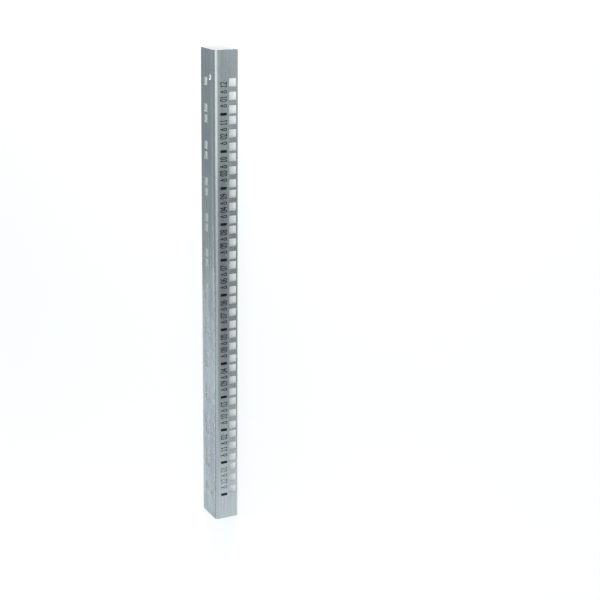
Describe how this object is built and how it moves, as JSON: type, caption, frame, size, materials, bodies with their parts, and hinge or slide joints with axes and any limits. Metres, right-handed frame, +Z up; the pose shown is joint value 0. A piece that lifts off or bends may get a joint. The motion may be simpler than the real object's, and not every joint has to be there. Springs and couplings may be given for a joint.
{
  "type": "rack mounting rail",
  "caption": "Zinc-coated steel angle rail with square cage-nut holes at rack-unit spacing down both flanges, for fastening equipment in a rack cabinet or case.",
  "frame": {"origin": "centre of the bounding box's bottom face, on the floor that the rail lies on", "axes": "+X along the rail from its lower end to its upper end; +Z up; the rail rests on its two free edges with the fold on top, the equipment flange facing -Y and up, the fixing flange facing +Y and up"},
  "size_m": [0.5974, 0.0492, 0.0228],
  "materials": {
    "zinc_steel": "zinc-coated mill finish, satin, faint lengthwise streaks",
    "marking_ink": "flat black printed ink"
  },
  "bodies": {
    "root": {"mounting_rail": "zinc_steel"}
  },
  "joints": []
}
